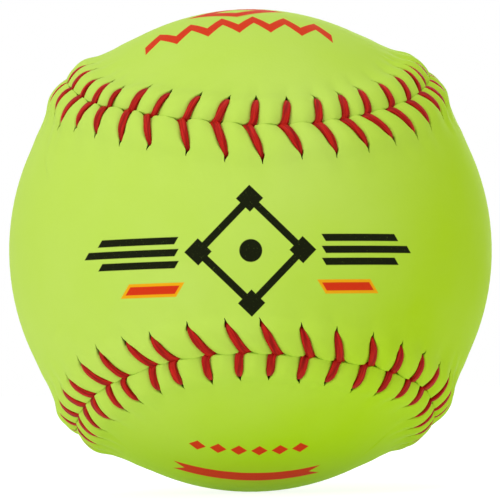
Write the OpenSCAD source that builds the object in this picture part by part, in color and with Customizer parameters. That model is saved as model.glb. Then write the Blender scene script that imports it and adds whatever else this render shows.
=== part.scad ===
// Twelve-inch softball with a raised, laced seam.
// A moulded core, a yarn winding and a cement coat lie inside a cover of two
// figure-eight panels, which two threads lace together, rim against rim.
// The origin is the centre of the ball. The waist of the front panel faces -Y,
// its lobes reach round to +X and -X, and the back panel's lobes to +Z and -Z.

/* [Ball] */
// Radius of the smooth cover, clear of the seam
ball_r = 48; // [46:0.25:50]
// Thickness of the cover sheet
cover_t = 1.8; // [1.6:0.05:2.2]
// Room between the cover sheet and the cement coat
cover_gap = 0.4; // [0.4:0.05:0.5]
// Thickness of the dried cement coat
coat_t = 0.5; // [0.3:0.05:0.8]
// Radius of the moulded core
core_r = 34; // [28:0.5:40]
// Room between the core, the winding and the coat
layer_gap = 0.05; // [0.02:0.01:0.1]

/* [Seam line] */
// Half angle of a panel's waist, seen from the centre of the ball
waist_angle = 25.3; // [24.5:0.1:26.5]
// Angle that flattens the seam's bends
bend_angle = -1.4; // [-2:0.1:-0.8]
// Angle by which the seam swings round the lobes
swing_angle = 20.9; // [20:0.1:21.5]
// Number of stitches round the ball
stitches = 88; // [80:4:92]
// Place of the first stitch, as a share of the stitch spacing
first_stitch_share = 0.4; // [0:0.05:0.95]

/* [Raised rim] */
// Height of the puffed rim above the smooth cover
rim_h = 2.45; // [2.2:0.05:2.7]
// Distance from the seam at which the rim has sunk into the smooth cover
skirt_reach = 11.6; // [10.8:0.1:12.5]
// Room under the rim for the thread that crosses there
rim_lift = 1.05; // [1:0.05:1.15]
// Gap between the two rims, from stitch to stitch
rim_gap = 0.12; // [0.08:0.02:0.2]

/* [Thread] */
// Width of the flattened thread
thread_w = 1.3; // [1.1:0.05:1.4]
// Thickness of the flattened thread
thread_t = 0.8; // [0.7:0.05:0.85]
// Room left beside the thread in holes, grooves and notches
thread_gap = 0.1; // [0.08:0.01:0.14]
// Distance from the seam to the middle of a stitch hole
hole_reach = 6.7; // [6.5:0.1:7]
// Distance along the seam from a stitch's point back to its holes
hole_setback = 2.45; // [2.3:0.05:2.6]
// Distance along the seam between a stitch's two threads
thread_step = 1.65; // [1.6:0.05:1.75]

/* [Hidden] */
$fn = 96;

FRONT = 1;
BACK = -1;

// Radii of the layers under the cover
coat_r = ball_r - cover_t - cover_gap;
winding_r = coat_r - coat_t - layer_gap;
sheet_in_r = ball_r - cover_t;
rim_in_r = sheet_in_r + rim_lift;
// Radius of the middle of the thread where it crosses under a rim
crossing_r = coat_r + thread_t / 2 + thread_gap;

// Distances from the seam of the rows of points that shape a rim
notch_reach = thread_t + thread_gap - rim_gap;
hole_in = hole_reach - thread_t / 2 - thread_gap;
hole_out = hole_reach + thread_t / 2 + thread_gap;
rim_row_shares = [0.17, 0.46];
rim_reaches = concat([for (share = rim_row_shares) share * hole_reach], [hole_in, hole_out]);
skirt_mid = (hole_out + skirt_reach) / 2;
// Heights of those rows, as shares of the rim's height: on a puff between two
// stitches, and on the floor of the groove under a thread
lip_puff_share = 0.42;
lip_groove_share = -0.05;
puff_shares = [0.86, 1, 0.66, 0.46];
groove_shares = [0.43, 0.66, 0.28, 0.24];
skirt_share = 0.17;
// Half width of a groove, and of a puff's flat top as a share of the stitch spacing
groove_half = thread_w / 2 + 2 * thread_gap;
puff_half_share = 0.14;
// Half length of the notch where both threads of a stitch go down
notch_half = thread_step / 2 + thread_w / 2 + 2 * thread_gap;

// Height of the thread's middle above what it lies on, and above the bends of the
// groove's floor, where the thread stands off it a little more
thread_seat = thread_t / 2 + thread_gap;
shoulder_seat_share = 1.3;
dive_seat_share = 1.8;
// Place where the thread turns down to its hole, as a share of the way there
dive_share = 0.9;
// Width of the thread where it is pulled tight under a rim
crossing_w = thread_w - 3 * thread_gap;

// Smooth part of a panel: rows between the skirt and the panel's middle line
inner_row_shares = [0.25, 0.5, 0.75];
// Angle from a panel's centre to either end of its middle line
spine_angle = 98;

// Seam line on the unit sphere, and its length up to each of many samples
seam_turns = 720;
seam_samples = 1440;
function seam_polar(t) =
    90 - (90 - waist_angle - bend_angle) * cos(t) - bend_angle * cos(3 * t);
function seam_turn(t) = t / 2 + swing_angle * sin(2 * t);
function seam_at(t) = let (polar = seam_polar(t), turn = seam_turn(t))
    [-sin(polar) * sin(turn), -cos(polar), sin(polar) * cos(turn)];
function sample_at(k) = k * seam_turns / seam_samples;
seam_table = [for (k = 0, run = 0; k <= seam_samples;
                   run = run + norm(seam_at(sample_at(k + 1)) - seam_at(sample_at(k))),
                   k = k + 1) [run, sample_at(k)]];
seam_unit_length = seam_table[seam_samples][0];
pitch = seam_unit_length * ball_r / stitches;

function unit(v) = v / norm(v);
function arc_angle(length) = length / ball_r * 180 / PI;
// Direction part of the way from a to b round the sphere, or past b
function between(a, b, share) = let (angle = acos(a * b))
    (sin((1 - share) * angle) * a + sin(share * angle) * b) / sin(angle);
// Seam parameter at a distance along the seam
function seam_param(along) = let (run = along / ball_r)
    lookup(run - floor(run / seam_unit_length) * seam_unit_length, seam_table);
// Direction of the point at a distance along the seam and beside it
function seam_dir(along, side, reach) =
    let (t = seam_param(along), here = seam_at(t), ahead = seam_at(t + 0.5) - seam_at(t - 0.5),
         across = side * unit(cross(here, ahead)), angle = arc_angle(reach))
    here * cos(angle) + across * sin(angle);

function stitch_along(stitch) = (stitch + first_stitch_share) * pitch;
function foot_dir(side, stitch) =
    seam_dir(stitch_along(stitch) + side * thread_step / 2, side, 0);
function hole_dir(side, stitch) =
    seam_dir(stitch_along(stitch) - hole_setback, side, hole_reach);
// Direction on a line that runs as the threads do, from the seam over the rim
function rim_dir(side, stitch, reach) =
    between(foot_dir(side, stitch), hole_dir(side, stitch), reach / hole_reach);

// Direction beside that line, square to the thread
function groove_dir(side, stitch, reach, beside) =
    let (foot = foot_dir(side, stitch), hole = hole_dir(side, stitch), angle = arc_angle(beside))
    between(foot, hole, reach / hole_reach) * cos(angle)
        - side * unit(cross(foot, hole)) * sin(angle);

// Points of one row round a panel, four to a stitch: the two edges of the groove,
// then the two edges of the puff's flat top
function lip_row(side) =
    [for (stitch = [0:stitches - 1], k = [0:3])
        let (puff = k > 1, flat = puff_half_share / 2,
             share = puff ? 0.5 + (2 * k - 5) * flat : 0,
             along = stitch_along(stitch + share) + (puff ? 0 : (2 * k - 1) * notch_half))
        (ball_r + rim_h * (puff ? lip_puff_share : lip_groove_share))
            * seam_dir(along, side, puff ? rim_gap / 2 : notch_reach)];
function rim_row(side, reach, puff_share, groove_share) =
    [for (stitch = [0:stitches - 1], k = [0:3])
        k > 1 ? (ball_r + rim_h * puff_share)
                    * rim_dir(side, stitch + 0.5 + (2 * k - 5) * puff_half_share, reach)
              : (ball_r + rim_h * groove_share)
                    * groove_dir(side, stitch, reach, (2 * k - 1) * groove_half)];
// Points of one row under the rim, two to a stitch, below the groove's edges
function lip_under_row(side) =
    [for (stitch = [0:stitches - 1], edge = [-1, 1])
        rim_in_r * seam_dir(stitch_along(stitch) + edge * notch_half, side, notch_reach)];
function rim_under_row(side, reach) =
    [for (stitch = [0:stitches - 1], edge = [-1, 1])
        rim_in_r * groove_dir(side, stitch, reach, edge * groove_half)];
// Points of one row on the skirt, evenly spaced
function skirt_row(side, reach, radius, per_stitch) =
    [for (k = [0:stitches * per_stitch - 1])
        radius * rim_dir(side, k / per_stitch, reach)];
// Middle line of a panel, and the rows between it and the skirt
function spine_dir(side, share) = let (angle = spine_angle * share)
    side == FRONT ? [-sin(angle), -cos(angle), 0] : [0, cos(angle), sin(angle)];
function spine_step(side, k) =
    let (past_end = k - (side == FRONT ? stitches / 4 : 0),
         step = past_end < 0 ? past_end + stitches : past_end)
    step <= stitches / 2 ? step : stitches - step;
function spine_row(side, radius) =
    [for (step = [0:stitches / 2]) radius * spine_dir(side, cos(step * 360 / stitches))];
function inner_row(side, share, radius) =
    [for (k = [0:stitches - 1])
        let (spine = spine_dir(side, cos(spine_step(side, k) * 360 / stitches)))
        radius * between(rim_dir(side, k, skirt_reach), spine, share)];

// Faces between two rows that run round a panel, from point a and from point b on.
// They turn clockwise seen from outside the back panel.
function strip_even(a, b, size, hole_every) =
    [for (k = [0:size - 1], half = [0:1])
        let (next = (k + 1) % size)
        if (hole_every == 0 || k % hole_every > 0)
            half == 0 ? [a + k, a + next, b + k] : [a + next, b + next, b + k]];
// The same where the second row has half as many points
function strip_halved(a, b, size_b) =
    [for (k = [0:size_b - 1], part = [0:2])
        let (next = (k + 1) % size_b)
        part == 0 ? [a + 2 * k, a + 2 * k + 1, b + k] :
        part == 1 ? [a + 2 * k + 1, b + next, b + k] :
                    [a + 2 * k + 1, a + 2 * next, b + next]];
// The last strip closes on the middle line
function strip_to_spine(a, b, side) =
    [for (k = [0:stitches - 1], half = [0:1])
        let (next = (k + 1) % stitches, p = spine_step(side, k), q = spine_step(side, next))
        half == 0 ? [a + k, a + next, b + p] : [a + next, b + q, b + p]];
// Rim wall, from the lip's four points a stitch down to two below: one cell in the
// notch and a fan under the puff
function strip_wall(a, b) =
    [for (stitch = [0:stitches - 1], face = [0:5])
        let (lip = [for (k = [0:4]) a + (4 * stitch + k) % (4 * stitches)],
             low = [for (k = [0:2]) b + (2 * stitch + k) % (2 * stitches)])
        [[low[0], low[1], lip[0]], [low[1], lip[1], lip[0]], [low[1], lip[2], lip[1]],
         [low[1], low[2], lip[2]], [low[2], lip[3], lip[2]], [low[2], lip[4], lip[3]]][face]];
// Walls of the holes, from the outer face's rows a and b down to the under face's c and d
function strip_holes(a, b, c, d) =
    [for (stitch = [0:stitches - 1], k = [0:3], half = [0:1])
        let (top = [a + 4 * stitch, a + 4 * stitch + 1, b + 4 * stitch + 1, b + 4 * stitch],
             low = [c + 2 * stitch, c + 2 * stitch + 1, d + 2 * stitch + 1, d + 2 * stitch],
             next = (k + 1) % 4)
        half == 0 ? [top[k], top[next], low[k]] : [top[next], low[next], low[k]]];
function turned_over(faces) = [for (face = faces) [face[0], face[2], face[1]]];
// All strips of one face of a panel, with the holes left out after one row
function face_strips(rows, starts, hole_row, hole_every, side) =
    [for (r = [0:len(rows) - 2])
        each r == len(rows) - 2 ? strip_to_spine(starts[r], starts[r + 1], side) :
             len(rows[r]) > len(rows[r + 1]) ?
                 strip_halved(starts[r], starts[r + 1], len(rows[r + 1])) :
                 strip_even(starts[r], starts[r + 1], len(rows[r]),
                            r == hole_row ? hole_every : 0)];
function row_starts(rows, first) =
    [for (k = 0, at = first; k < len(rows); at = at + len(rows[k]), k = k + 1) at];

// Panel: both faces run from the lip over the rim and the skirt to the middle line
module cover_panel(side) {
    last_rim_row = len(rim_reaches) - 1;
    outer_rows = concat(
        [lip_row(side)],
        [for (k = [0:last_rim_row])
            rim_row(side, rim_reaches[k], puff_shares[k], groove_shares[k])],
        [skirt_row(side, skirt_mid, ball_r + rim_h * skirt_share, 2),
         skirt_row(side, skirt_reach, ball_r, 1)],
        [for (share = inner_row_shares) inner_row(side, share, ball_r)],
        [spine_row(side, ball_r)]);
    under_rows = concat(
        [lip_under_row(side), rim_under_row(side, hole_in), rim_under_row(side, hole_out),
         skirt_row(side, skirt_mid, sheet_in_r, 1), skirt_row(side, skirt_reach, sheet_in_r, 1)],
        [for (share = inner_row_shares) inner_row(side, share, sheet_in_r)],
        [spine_row(side, sheet_in_r)]);
    points = [for (row = concat(outer_rows, under_rows)) each row];
    outer = row_starts(outer_rows, 0);
    under = row_starts(under_rows, outer[len(outer) - 1] + stitches / 2 + 1);
    faces = concat(
        face_strips(outer_rows, outer, last_rim_row, 4, side),
        turned_over(face_strips(under_rows, under, 1, 2, side)),
        strip_wall(outer[0], under[0]),
        strip_holes(outer[last_rim_row], outer[last_rim_row + 1], under[1], under[2]));
    polyhedron(points, side == BACK ? faces : turned_over(faces), convexity = 10);
}

// Thread: a flat ribbon that follows a path in a plane through the ball's centre.
// The path's points are pairs of a share of the way from one direction to the other
// and a radius.
function turned(v) = [-v[1], v[0]];
function ribbon_edge(path, offset) =
    [for (k = [0:len(path) - 1])
        let (into = unit(path[max(k, 1)] - path[max(k, 1) - 1]),
             onward = unit(path[min(k, len(path) - 2) + 1] - path[min(k, len(path) - 2)]),
             normal = turned(unit(into + onward)))
        path[k] + normal * offset / (normal * turned(into))];
module ribbon(from, to, path, width) {
    angle = acos(from * to);
    x_axis = unit(to - from);
    y_axis = unit(to + from);
    z_axis = cross(x_axis, y_axis);
    flat_path = [for (p = path) p[1] * [sin((p[0] - 0.5) * angle), cos((p[0] - 0.5) * angle)]];
    outline = concat(ribbon_edge(flat_path, thread_t / 2),
                     [for (k = [len(path) - 1:-1:0]) ribbon_edge(flat_path, -thread_t / 2)[k]]);
    multmatrix([for (row = [0:2]) [x_axis[row], y_axis[row], z_axis[row], 0]])
        linear_extrude(width, center = true) polygon(outline);
}

// Over the rim: down between the rims, along the groove's floor and down the hole
module thread_over(side, stitch) {
    floor_radii = [for (share = concat([lip_groove_share], groove_shares))
        ball_r + rim_h * share];
    path = [[0, crossing_r],
            [0, floor_radii[0] + thread_seat],
            [rim_row_shares[0], floor_radii[1] + thread_seat * shoulder_seat_share],
            [rim_row_shares[1], floor_radii[2] + thread_seat],
            [dive_share, floor_radii[3] + thread_seat * dive_seat_share],
            [1, floor_radii[3]],
            [1, crossing_r]];
    ribbon(foot_dir(side, stitch), hole_dir(side, stitch), path, thread_w);
}
// Under the other rim: from the foot between the rims to the next stitch's hole
module thread_under(side, stitch) {
    overrun = thread_seat / hole_reach;
    path = [for (share = [-overrun, 0.5, 1 + overrun]) [share, crossing_r]];
    ribbon(foot_dir(side, stitch), hole_dir(-side, stitch + 1), path, crossing_w);
}
// One thread: it takes the front rim and the back rim in turn, stitch by stitch
module seam_thread(first_side) {
    for (stitch = [0:stitches - 1]) {
        side = stitch % 2 == 0 ? first_side : -first_side;
        thread_over(side, stitch);
        thread_under(side, stitch);
    }
}

module hollow_ball(outer_r, inner_r) {
    difference() {
        sphere(r = outer_r);
        sphere(r = inner_r);
    }
}

module core() color("tan") sphere(r = core_r);
module winding() color("ivory") hollow_ball(winding_r, core_r + layer_gap);
module cement_coat() color("gainsboro") hollow_ball(coat_r, winding_r + layer_gap);
module cover_panel_front() color("#b9de4e") cover_panel(FRONT);
module cover_panel_back() color("#b9de4e") cover_panel(BACK);
module seam_thread_first() color("#c01e2d") seam_thread(FRONT);
module seam_thread_second() color("#c01e2d") seam_thread(BACK);

core();
winding();
cement_coat();
cover_panel_front();
cover_panel_back();
seam_thread_first();
seam_thread_second();
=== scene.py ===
"""Looks of a twelve-inch softball: a cover of two figure-eight panels whose puffed rims
are laced together by two red threads. Lengths are in millimetres until they reach a mesh."""

import math

import bmesh
import bpy
import numpy as np
from mathutils import Matrix, Vector


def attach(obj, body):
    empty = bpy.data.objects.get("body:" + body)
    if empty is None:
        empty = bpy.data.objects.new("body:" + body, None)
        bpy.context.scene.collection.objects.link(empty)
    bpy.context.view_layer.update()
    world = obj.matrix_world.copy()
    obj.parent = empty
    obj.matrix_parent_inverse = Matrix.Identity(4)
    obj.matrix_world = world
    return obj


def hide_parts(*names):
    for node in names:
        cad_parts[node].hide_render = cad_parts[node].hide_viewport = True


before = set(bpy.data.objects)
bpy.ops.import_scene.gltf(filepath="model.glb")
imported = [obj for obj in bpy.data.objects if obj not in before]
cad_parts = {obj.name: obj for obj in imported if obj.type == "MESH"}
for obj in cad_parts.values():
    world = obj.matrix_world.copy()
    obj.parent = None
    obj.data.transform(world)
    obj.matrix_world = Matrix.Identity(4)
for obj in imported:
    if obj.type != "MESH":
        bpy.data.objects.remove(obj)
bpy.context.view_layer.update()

MM = 0.001

# The two panels, and the two sides of the seam
FRONT = 1
BACK = -1
SIDES = (FRONT, BACK)

# Ball: radius of the smooth cover, of its under face, of the under face of a rim, and of
# the middle of a thread where it crosses under a rim
BALL_R = 48.0
SHEET_IN_R = 46.2
RIM_IN_R = 47.25
CROSSING_R = 46.3

# Seam line: half angle of a waist, and the two angles that shape the lobes
WAIST = math.radians(25.3)
BEND = math.radians(-1.4)
SWING = math.radians(20.9)
STITCHES = 88
FIRST_STITCH_SHARE = 0.4
SEAM_SAMPLES = 5760
TANGENT_STEP = 0.005

# How far the seam's sway is smoothed, and how many stitches on either side it looks at
SWAY_SPREAD = 0.8
SWAY_STITCHES = 3

# Stitches: where the holes lie, the step between the two threads of a stitch, and how far
# a thread leans along the seam where it goes down
HOLE_REACH = 6.7
HOLE_SETBACK = 1.95
THREAD_STEP = 0.8
THREAD_TAIL = 0.7

# Rim: height of a puff, where its crest lies, where it has sunk into the ball, and the
# shoulder on its way down
RIM_H = 2.58
CREST_REACH = 3.0
SKIRT_REACH = 11.6
SHOULDER_SHARE = 0.16
SHOULDER_START = 4.2
SHOULDER_END = 7.6

# Lip: its height as a share of the puff's, the gap between the two lips, and the notch
# where the threads go down
LIP_SHARE = 0.76
LIP_ROUNDING = 0.8
RIM_GAP = 0.02
NOTCH_REACH = 0.7
NOTCH_HALF = 1.0
NOTCH_ALONG = 0.25
NOTCH_FADE = 2.5
NOTCH_SHARPNESS = 4

# Dips of the rim at a stitch: the puff's, the lip's, the groove and the fold past it
PUFF_DIP_SHARE = 0.19
LIP_DIP_SHARE = 0.24
LIP_DIP_REACH = 1.8
GROOVE_HALF = 0.84
GROOVE_SHARPNESS = 4.0
GROOVE_NARROWING = 0.55
NARROWING_START = 3.8
NARROWING_RUN = 1.7
CREASE_RUN = 0.8
FOLD_DEPTH = 0.13
FOLD_HALF = 1.2
FOLD_START = 5.6
FOLD_END = 10.4

# Low swell of the ball beside the rims
SWELL_H = 0.32
SWELL_START = 6.5
SWELL_TOP = 10.8
SWELL_END = 19.0

# Thread: its middle line over a rim, as distances from the seam and heights over the ball,
# the part of that line that lies on the rim, and the gap under it
THREAD_W = 1.58
THREAD_T = 0.8
THREAD_LINE = (
    (-0.1, -1.7), (-0.1, -0.8), (-0.09, 0.1), (0.0, 0.85), (0.35, 1.36), (0.95, 1.74),
    (1.7, 1.93), (2.6, 2.0), (3.5, 1.93), (4.3, 1.69), (4.9, 1.29), (5.3, 0.75), (5.5, 0.05),
    (5.54, -0.8), (5.54, -1.7))
BED_POINTS = slice(2, 12)
BED_STEPS = 4
THREAD_BED = 0.03

# Thread: where it leans toward its tail, where it tapers toward its hole, how much slimmer
# it is where it goes down, and how slim it is under the rims
SINK_H = 1.9
SINK_REACH = 2.0
SINK_RUN = 1.6
TAPER = 0.4
TAPER_START = 3.1
TAPER_RUN = 2.4
DOWN_H = -1.2
DOWN_RUN = 1.4
DOWN_W_SHARE = 0.72
UNDER_W_SHARE = 0.7
UNDER_T_SHARE = 0.9

# Mesh of a thread: steps between the points of its line, steps under a rim, points round
# its flattened section, how its turns are smoothed, and its plies
OVER_STEPS = 2
UNDER_STEPS = 7
SECTION_POINTS = 20
SECTION_POWER = 2.6
SMOOTHINGS = 2
SMOOTHING = 0.5
LAY_LENGTH = 24.0
PLIES = 3
PLY_DEPTH = 0.14
CLEFT_HALF = 0.28

# Mesh of a rim: columns from one strand to halfway to the next, as shares of the stitch
# spacing, and rows from the lip to the end of the skirt
COLUMN_SHARES = (
    0.0, 0.04, 0.075, 0.105, 0.13, 0.155, 0.185, 0.225, 0.275, 0.33, 0.39, 0.445, 0.5)
ROW_REACHES = (
    0.0, 0.12, 0.28, 0.5, 0.8, 1.15, 1.55, 2.0, 2.5, 3.0, 3.5, 4.0, 4.5, 5.0, 5.4, 5.75,
    6.05, 6.3, 6.5, 6.7, 6.9, 7.1, 7.3, 7.55, 7.85, 8.2, 8.6, 9.05, 9.55, 10.1, 10.8, 11.6)

# Holes: the rows where they begin and end, columns on either side of their middle, and how
# their columns are drawn together into a slit that bends to one side
HOLE_ROWS = (5.0, 6.7)
HOLE_COLUMNS = 3
HOLE_TIP_SHARE = 0.1
PINCH_START = 4.6
PINCH_END = 8.6
SLIT_BEND_START = 5.4
CALM_COLUMN = 10

# Mesh of a panel's smooth middle: rows outside and inside, how they spread, how many of
# the first ones halve their columns, and where the middle line ends
OUTSIDE_ROWS = 15
INSIDE_ROWS = 6
ROW_SPREAD = 1.25
HALVINGS = 2
SPINE_ANGLE = math.radians(98)

# Edges that bend by more than this stay sharp in the light
SHARP_ANGLE = math.radians(55)

# Camera: twelve ball radii away, so that the smooth cover's edge keeps its measured radius
PICTURE_PX = 500.0
MIDDLE_PX = (250.47, 250.49)
BALL_PX = 241.42
CAMERA_RADII = 12.0
CAMERA_ROLL = math.radians(1.09)
CAMERA_TURN = math.radians(3.17)
CAMERA_TIP = math.radians(-2.63)
FOCAL_PX = BALL_PX * math.sqrt(CAMERA_RADII ** 2 - 1)

# Uneven hand sewing: how widely each drift spreads, and where it doesn't lie about zero.
# Stitches and slits are in stitch spacings, puffs and strands in shares of their size.
SEED = 12
STITCH_SPREAD = 0.08
SEAM_SPREAD = 0.25
HOLE_SPREAD = 0.3
HOLE_LEAD = {FRONT: 0.0, BACK: 0.6}
REACH_SPREAD = 0.18
PUFF_SPREAD = 0.03
SLIT_SPREAD = 0.03
SLIT_BEND = {FRONT: 0.07, BACK: 0.03}
STEP_SPREAD = 0.3
STEP_MIN = 0.3
STEP_MAX = 1.4
STRAND_SPREAD = 0.05

# Stitches read off the photograph, in its pixels: where the two strands meet, and
# where each goes into its hole, on the front panel and on the back one. The stitches are
# numbered along the seam, down from TOP_FIRST in the line above and up from BOTTOM_FIRST
# in the line below.
TOP_FIRST = 8
TOP_STITCHES_PX = (
    ((73.7, 91.6), (54.8, 116.6), (90.5, 74.3)), ((82.1, 97.2), (62.2, 126.8), (96.6, 79.9)),
    ((93.2, 104.4), (78.5, 128.9), (111.0, 83.4)),
    ((107.4, 108.5), (98.5, 135.1), (122.5, 89.8)),
    ((131.4, 110.2), (122.5, 142.4), (150.6, 89.8)),
    ((150.8, 116.6), (151.1, 146.5), (172.2, 94.2)),
    ((184.6, 120.0), (188.7, 151.6), (201.1, 97.0)),
    ((216.6, 122.4), (226.6, 157.1), (229.4, 100.3)),
    ((250.6, 125.9), (262.1, 158.9), (256.4, 100.7)),
    ((283.9, 125.1), (301.1, 154.9), (286.8, 101.5)),
    ((318.2, 123.5), (335.7, 153.4), (314.5, 99.5)),
    ((344.9, 119.2), (366.8, 148.3), (337.2, 95.7)),
    ((366.3, 114.6), (392.3, 141.6), (355.6, 90.6)),
    ((390.3, 108.0), (413.8, 136.0), (375.0, 85.0)),
    ((408.2, 100.8), (427.6, 127.3), (389.8, 77.9)),
    ((420.9, 90.6), (439.3, 117.1), (400.5, 70.7)),
    ((424.4, 86.5), (445.7, 110.0), (401.5, 64.6)))
BOTTOM_FIRST = 35
BOTTOM_STITCHES_PX = (
    ((79.1, 413.4), (60.6, 404.5), (101.9, 436.6)),
    ((85.7, 405.5), (62.0, 386.7), (105.5, 427.4)),
    ((93.8, 396.3), (69.9, 375.0), (114.3, 417.1)),
    ((109.2, 383.8), (81.6, 359.9), (127.6, 407.7)),
    ((124.6, 377.9), (100.1, 348.6), (143.7, 398.5)),
    ((153.2, 365.2), (123.9, 341.3), (161.3, 389.7)),
    ((173.0, 359.9), (152.0, 335.4), (183.3, 383.8)),
    ((208.2, 355.0), (188.1, 325.9), (211.9, 379.4)),
    ((242.1, 351.8), (226.6, 322.6), (239.4, 375.8)),
    ((274.8, 354.4), (261.8, 322.2), (268.4, 375.2)),
    ((307.4, 355.6), (300.8, 326.8), (297.3, 378.3)),
    ((337.2, 361.5), (335.2, 330.6), (323.9, 381.0)),
    ((366.8, 363.6), (370.5, 336.0), (350.4, 387.6)),
    ((390.6, 371.5), (398.9, 344.1), (373.9, 391.6)),
    ((409.4, 379.8), (420.1, 352.8), (391.3, 396.3)),
    ((422.8, 386.5), (435.9, 363.5), (406.0, 404.3)),
    ((432.4, 398.6), (446.2, 372.9), (416.7, 411.0)),
    ((435.5, 404.5), (452.9, 382.2), (420.1, 420.4)))

# How high over the ball these places lie, how far from the seam a strand's end is seen,
# how far from the picture's middle they are trusted, and the most that each drift may be
MEET_H = 1.15
END_H = 0.6
END_REACH = 5.7
TRUSTED_PX = 226.0
UNTRUSTED_PX = 240.0
MEET_LIMIT = 0.5
SEAM_LIMIT = 1.6
HOLE_LIMIT = 1.8
REACH_LIMIT = 1.3

# Where the seam passes over the outline in the photograph, how high its rims stand there,
# and how many stitches on either side follow it
OUTLINE_PX = ((428.3, 72.7), (66.5, 77.5), (78.1, 433.7), (433.2, 426.9))
OUTLINE_H = 2.3
OUTLINE_NEAR = 3.0
OUTLINE_FAR = 7.0

# Strands that look slimmer or fuller than the rest, as shares of the thread's width
ODD_STRANDS = (
    (BACK, 7, 0.75), (BACK, 5, 0.66), (BACK, 4, 1.1), (BACK, 3, 0.82), (BACK, 81, 0.66),
    (FRONT, 39, 0.86), (BACK, 39, 0.86), (FRONT, 51, 0.66), (BACK, 51, 0.6),
    (BACK, 52, 0.75))

# First and last stitch of those whose slits turn further to one side, and by how much, in
# stitch spacings
ODD_SLITS = ((BACK, 81, 86, 0.09),)

# Cover: painted sheen makes it paler toward the key lamp, between two distances from the
# middle. Those, and the depths of all grain, are in metres, as the shaders take them.
COVER_AWAY_FROM_SHEEN = (176, 216, 24)
COVER_PAINTED_SHEEN = (190, 221, 93)
SHEEN_WAY = (-0.67, -0.55, 0.49)
SHEEN_SPAN = (-0.1 * BALL_R * MM, 0.6 * BALL_R * MM)
TONE_NOISE_SHARE = 0.2
TONE_NOISE_SCALE = 60
TONE_NOISE_RANGE = (0.3, 0.7)
# Painted shade down the walls of the holes, and the depths over which it darkens
HOLE_PAINTED_SHADE = (34, 34, 8)
HOLE_SHADE_DEPTHS = (0.02, 0.3)
COVER_ROUGHNESS = 0.6
COVER_GLOSS = 0.045
CELL_SCALE = 1500
CELL_DEPTH = 0.00003
CELL_STRENGTH = 0.35
GRAIN_SCALE = 2500
GRAIN_DEPTH = 0.00002
GRAIN_STRENGTH = 0.3

# Ink: its colours, the width of its soft edge, and how much of it is left where it is worn
# and where it is whole
BLACK_INK = (10, 12, 4)
RED_INK = (212, 50, 20)
AMBER_INK = (240, 168, 16)
INK_EDGE = 0.12
WEAR_SCALE = 3000
WEAR_RANGE = (0.22, 0.36)
INK_LEFT = (0.9, 0.99)

# Print round the middle of the front: a diamond with its bases and a plate, three speed
# bars and a dash on either side. Sizes are in millimetres on the cover.
PRINT_X = -2.6
PRINT_Z = -2.2
DIAMOND_HALF = 9.6
DIAMOND_LINE = 1.9
BASE_HALF = 2.5
PLATE_R = 2.1
BAR_START = 13.5
BAR_ENDS = (27.5, 30.0, 27.5)
BAR_STEP = 2.2
BAR_H = 1.35
BAR_SLANT = 0.6
DASH_Z = -6.8
DASH_START = 13.5
DASH_END = 22.5
DASH_H = 1.5
DASH_BORDER = 0.55

# Print on the lobes: a zigzag and a hollow lozenge above, a row of beads and a ribbon
# below. Their places are distances from the middle of the front, up along the cover.
ZIGZAG_PLACE = 50.5
ZIGZAG_HALF = 18.0
ZIGZAG_STEP = 6.0
ZIGZAG_RISE = 4.8
ZIGZAG_LINE = 4.2
LOZENGE_PLACE = 64.0
LOZENGE_HALF = 9.6
LOZENGE_RISE = 6.5
LOZENGE_HOLLOW = 0.4
BEADS_PLACE = -46.0
BEADS_HALF = 11.6
BEADS_STEP = 3.9
BEAD_HALF = 1.6
RIBBON_PLACE = -57.0
RIBBON_HALF = 12.0
RIBBON_H = 4.2

# Thread's look
THREAD_DEEP = (148, 12, 5)
THREAD_PALE = (204, 34, 22)
# Painted shade in the clefts between plies, and how much of it
THREAD_CLEFT_SHADE = (100, 0, 2)
CLEFT_SHADE_SHARE = 0.6
FIBRE_STRETCH = (0.3, 6.0, 6.0)
FIBRE_RANGE = (0.32, 0.68)
FIBRE_ROUGHNESS = 0.6
FIBRE_DEPTH = 0.00008
FIBRE_STRENGTH = 0.6
THREAD_ROUGHNESS = 0.5
THREAD_GLOSS = 0.1

# Looks of the layers inside: material, its two colours, the scale of its streaks or
# speckles, and its roughness
INNER_LOOKS = {
    "core": ("cork", (120, 82, 50), (176, 134, 92), 500, 0.85),
    "winding": ("yarn", (206, 198, 180), (234, 228, 212), 900, 0.9),
    "cement_coat": ("cement", (196, 190, 166), (222, 216, 196), 200, 0.55)}
INNER_RANGE = (0.35, 0.65)
INNER_DEPTH = 0.0002
INNER_STRENGTH = 0.4

# Stage, in metres: half width of the floor, its whiteness and glow as the camera sees it
# and as it lights the ball, and the lamps by place, width and power
FLOOR_HALF = 6.0
FLOOR_SEEN = (0.4, 0.86)
FLOOR_LIT = (0.92, 0.19)
WORLD_LIGHT = 0.45
LAMPS = {
    "key": ((-1.1, -0.9, 0.8), 1.2, 9.0),
    "low": ((-0.8, -1.0, 0.05), 0.5, 0.4),
    "side": ((1.2, -0.9, 0.15), 0.6, 1.2),
    "above": ((0.1, -0.4, 1.35), 0.8, 5.8),
    "back": ((0.5, 1.5, 0.4), 1.0, 5.0)}
CLIP_START = 0.01


def unit(v):
    return v / np.linalg.norm(v, axis=-1, keepdims=True)


def smoothstep(x):
    x = np.clip(x, 0.0, 1.0)
    return x * x * (3 - 2 * x)


def ramp(value, start, end):
    """Smooth rise from 0 at one value to 1 at another."""
    return smoothstep((value - start) / (end - start))


def nearest_turn(value, span):
    """The value less whole spans, between minus and plus half a span."""
    return (value + span / 2) % span - span / 2


def between(a, b, share):
    """Direction part of the way from a to b round the sphere, or past b."""
    angle = np.arccos(np.clip((a * b).sum(-1), -1, 1))[..., None]
    share = np.asarray(share)[..., None]
    return (np.sin((1 - share) * angle) * a + np.sin(share * angle) * b) / np.sin(angle)


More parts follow.
